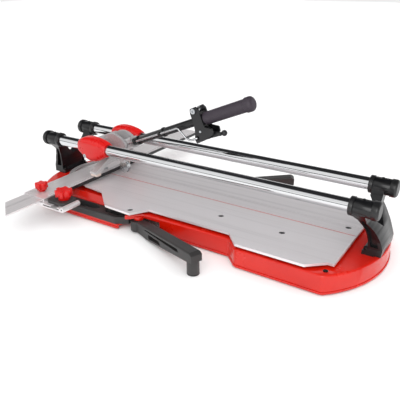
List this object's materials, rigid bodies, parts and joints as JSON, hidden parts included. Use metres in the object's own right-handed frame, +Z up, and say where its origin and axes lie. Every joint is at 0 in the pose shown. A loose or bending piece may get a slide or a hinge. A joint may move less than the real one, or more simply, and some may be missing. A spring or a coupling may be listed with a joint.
{
  "type": "tile cutter",
  "caption": "Manual tile cutter: tubular twin rails, sliding scoring carriage with lever handle, split sprung table, swivelling fence and folding side supports.",
  "frame": {"origin": "on the floor under the cutting line, midway between the rail sockets", "axes": "+X along the rails from the fence toward the operator's pushing end, +Y toward the back, +Z up"},
  "size_m": [0.847, 0.705, 0.2893],
  "materials": {
    "red_paint": "glossy red stove enamel on pressed steel",
    "black_paint": "semi-gloss black powder coat on cast alloy",
    "zinc_steel": "zinc-plated steel",
    "black_rubber": "matt moulded rubber",
    "grip_rubber": "fine-ribbed soft rubber",
    "plate_aluminium": "brushed along the length",
    "cast_aluminium": "die-cast, shot-blasted",
    "extruded_aluminium": "clear anodised extrusion",
    "chrome": "hard-chromed and polished tube",
    "red_plastic": "moulded red plastic",
    "dark_plastic": "dark grey moulded plastic, fine texture",
    "black_plastic": "black moulded plastic",
    "bright_steel": "bright drawn steel",
    "black_oxide": "black oxide screws",
    "bronze": "sintered bronze",
    "carbide": "ground tungsten carbide",
    "pale_plastic": "pale nylon"
  },
  "bodies": {
    "base": {"base_shell": "red_paint", "base_spine": "zinc_steel", "rubber_feet": "black_rubber", "base_screws": "black_oxide", "arm_pins": "zinc_steel", "breaking_bar": "red_paint", "front_table_buffers": "black_rubber", "rear_table_buffers": "black_rubber", "storage_tray": "dark_plastic", "spare_wheels": "carbide", "right_bracket": "black_paint", "left_bracket": "black_paint", "bracket_bolts": "black_oxide", "rail_collars": "black_plastic", "rail_end_caps": "black_plastic", "rail_screws": "black_oxide", "front_rail": "chrome", "rear_rail": "chrome", "protractor_pedestal": "black_plastic", "protractor_plate": "extruded_aluminium", "swivel_bolt": "zinc_steel"},
    "front_table": {"front_table_plate": "plate_aluminium", "front_plate_screws": "black_oxide"},
    "rear_table": {"rear_table_plate": "plate_aluminium", "rear_plate_screws": "black_oxide"},
    "carriage": {"carriage_housings": "red_plastic", "bushings": "bronze", "housing_screws": "zinc_steel", "carriage_body": "cast_aluminium", "handle_pin": "zinc_steel", "separator_pin": "zinc_steel", "separator_magnet": "bright_steel"},
    "separator": {"separator": "cast_aluminium", "separator_pads": "pale_plastic"},
    "handle": {"handle_yoke": "cast_aluminium", "handle_bar": "black_paint", "grip": "grip_rubber", "grip_cap": "grip_rubber", "side_plates": "black_paint", "spacer_tube": "bright_steel", "spacer_bolt": "zinc_steel", "lever_pin": "zinc_steel", "wheel_axle": "zinc_steel", "rod_guides": "black_plastic", "wheel_holder": "bright_steel"},
    "wheel": {"scoring_wheel": "carbide"},
    "lever": {"release_lever": "black_plastic"},
    "control_rod": {"control_rod": "bright_steel"},
    "fence": {"fence_profile": "extruded_aluminium", "fence_ruler": "extruded_aluminium", "fence_strip": "black_plastic", "stop_arm": "extruded_aluminium", "clamp_block": "dark_plastic"},
    "extension": {"extension_bar": "extruded_aluminium"},
    "extension_knob": {"extension_knob": "red_plastic"},
    "clamp_knob": {"clamp_knob": "red_plastic"},
    "front_arm": {"front_arm": "dark_plastic", "front_arm_foot": "black_rubber"},
    "rear_arm": {"rear_arm": "dark_plastic", "rear_arm_foot": "black_rubber"}
  },
  "joints": [
    {"name": "carriage_slide", "type": "slide", "parent": "base", "child": "carriage", "axis": [1, 0, 0], "range_m": [-0.045, 0.54]},
    {"name": "handle_lift", "type": "hinge", "parent": "carriage", "child": "handle", "pos_m": [-0.226, 0, 0.127], "axis": [0, -1, 0], "range_deg": [-14, 55]},
    {"name": "separator_swing", "type": "hinge", "parent": "carriage", "child": "separator", "pos_m": [-0.26, 0, 0.112], "axis": [0, -1, 0], "range_deg": [-6, 6]},
    {"name": "wheel_spin", "type": "hinge", "parent": "handle", "child": "wheel", "pos_m": [-0.212, 0, 0.0745], "axis": [0, 1, 0], "continuous": true},
    {"name": "release_lever_squeeze", "type": "hinge", "parent": "handle", "child": "lever", "pos_m": [0.01866, 0, 0.2055], "axis": [0, -1, 0], "range_deg": [0, 8], "stiffness_Nm_per_rad": 0.5, "springref_deg": -4.58},
    {"name": "control_rod_pull", "type": "slide", "parent": "handle", "child": "control_rod", "axis": [0.9225, 0, 0.3859], "range_m": [-0.0005, 0.002]},
    {"name": "fence_swivel", "type": "hinge", "parent": "base", "child": "fence", "pos_m": [-0.28, 0, 0.056], "axis": [0, 0, -1], "range_deg": [0, 45]},
    {"name": "extension_slide", "type": "slide", "parent": "fence", "child": "extension", "axis": [0, -1, 0], "range_m": [-0.085, 0.12]},
    {"name": "extension_knob_turn", "type": "hinge", "parent": "fence", "child": "extension_knob", "pos_m": [-0.302, -0.184, 0.07], "axis": [0, 0, 1], "range_deg": [-180, 180]},
    {"name": "clamp_knob_turn", "type": "hinge", "parent": "fence", "child": "clamp_knob", "pos_m": [-0.227, -0.187, 0.07], "axis": [0, 0, 1], "range_deg": [-180, 180]},
    {"name": "front_arm_swing", "type": "hinge", "parent": "base", "child": "front_arm", "pos_m": [-0.068, -0.131, 0.015], "axis": [0, 0, 1], "range_deg": [-35, 10]},
    {"name": "rear_arm_swing", "type": "hinge", "parent": "base", "child": "rear_arm", "pos_m": [-0.068, 0.131, 0.015], "axis": [0, 0, -1], "range_deg": [-31, 14]},
    {"name": "front_table_dip", "type": "hinge", "parent": "base", "child": "front_table", "pos_m": [0, -0.006, 0.0449], "axis": [1, 0, 0], "range_deg": [0, 1.2], "stiffness_Nm_per_rad": 80, "springref_deg": -1.72, "deforming": ["front_table_buffers"]},
    {"name": "rear_table_dip", "type": "hinge", "parent": "base", "child": "rear_table", "pos_m": [0, 0.006, 0.0449], "axis": [-1, 0, 0], "range_deg": [0, 1.2], "stiffness_Nm_per_rad": 80, "springref_deg": -1.72, "deforming": ["rear_table_buffers"]}
  ],
  "couplings": [
    {"joint": "control_rod_pull", "follows": "release_lever_squeeze", "m_per_rad": 0.011}
  ]
}
